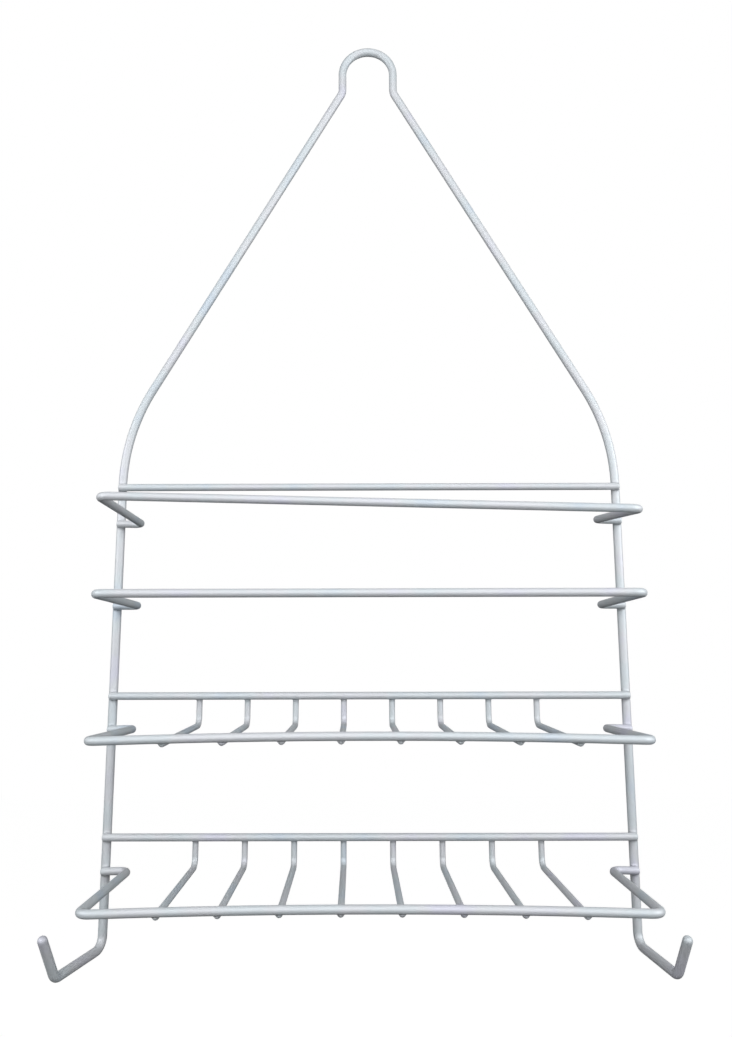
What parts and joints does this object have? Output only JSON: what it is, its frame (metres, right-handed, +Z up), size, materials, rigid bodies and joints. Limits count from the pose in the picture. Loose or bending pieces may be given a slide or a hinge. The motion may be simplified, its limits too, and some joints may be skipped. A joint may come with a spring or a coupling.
{
  "type": "hanging shower caddy",
  "caption": "Hanging wire shower caddy: a bent frame with a loop for the shower arm, a deep railed basket, a lower shelf of slats and a hook at each foot.",
  "frame": {"origin": "centre of the hanging loop's arch, on the axis of the shower arm that it hangs from", "axes": "+X to the right of someone facing the caddy, +Y into the wall, +Z up along the uprights"},
  "size_m": [0.3066, 0.0915, 0.5279],
  "materials": {
    "silver_coating": "satin silver-grey plastic coating on steel wire"
  },
  "bodies": {
    "root": {"hanging_frame": "silver_coating", "top_back_bar": "silver_coating", "upper_shelf_bar": "silver_coating", "lower_shelf_bar": "silver_coating", "top_guard_rail": "silver_coating", "middle_guard_rail": "silver_coating", "upper_shelf_rail": "silver_coating", "lower_shelf_rail": "silver_coating", "upper_slat_1": "silver_coating", "upper_slat_2": "silver_coating", "upper_slat_3": "silver_coating", "upper_slat_4": "silver_coating", "upper_slat_5": "silver_coating", "upper_slat_6": "silver_coating", "upper_slat_7": "silver_coating", "upper_slat_8": "silver_coating", "lower_slat_1": "silver_coating", "lower_slat_2": "silver_coating", "lower_slat_3": "silver_coating", "lower_slat_4": "silver_coating", "lower_slat_5": "silver_coating", "lower_slat_6": "silver_coating", "lower_slat_7": "silver_coating", "lower_slat_8": "silver_coating"}
  },
  "joints": []
}
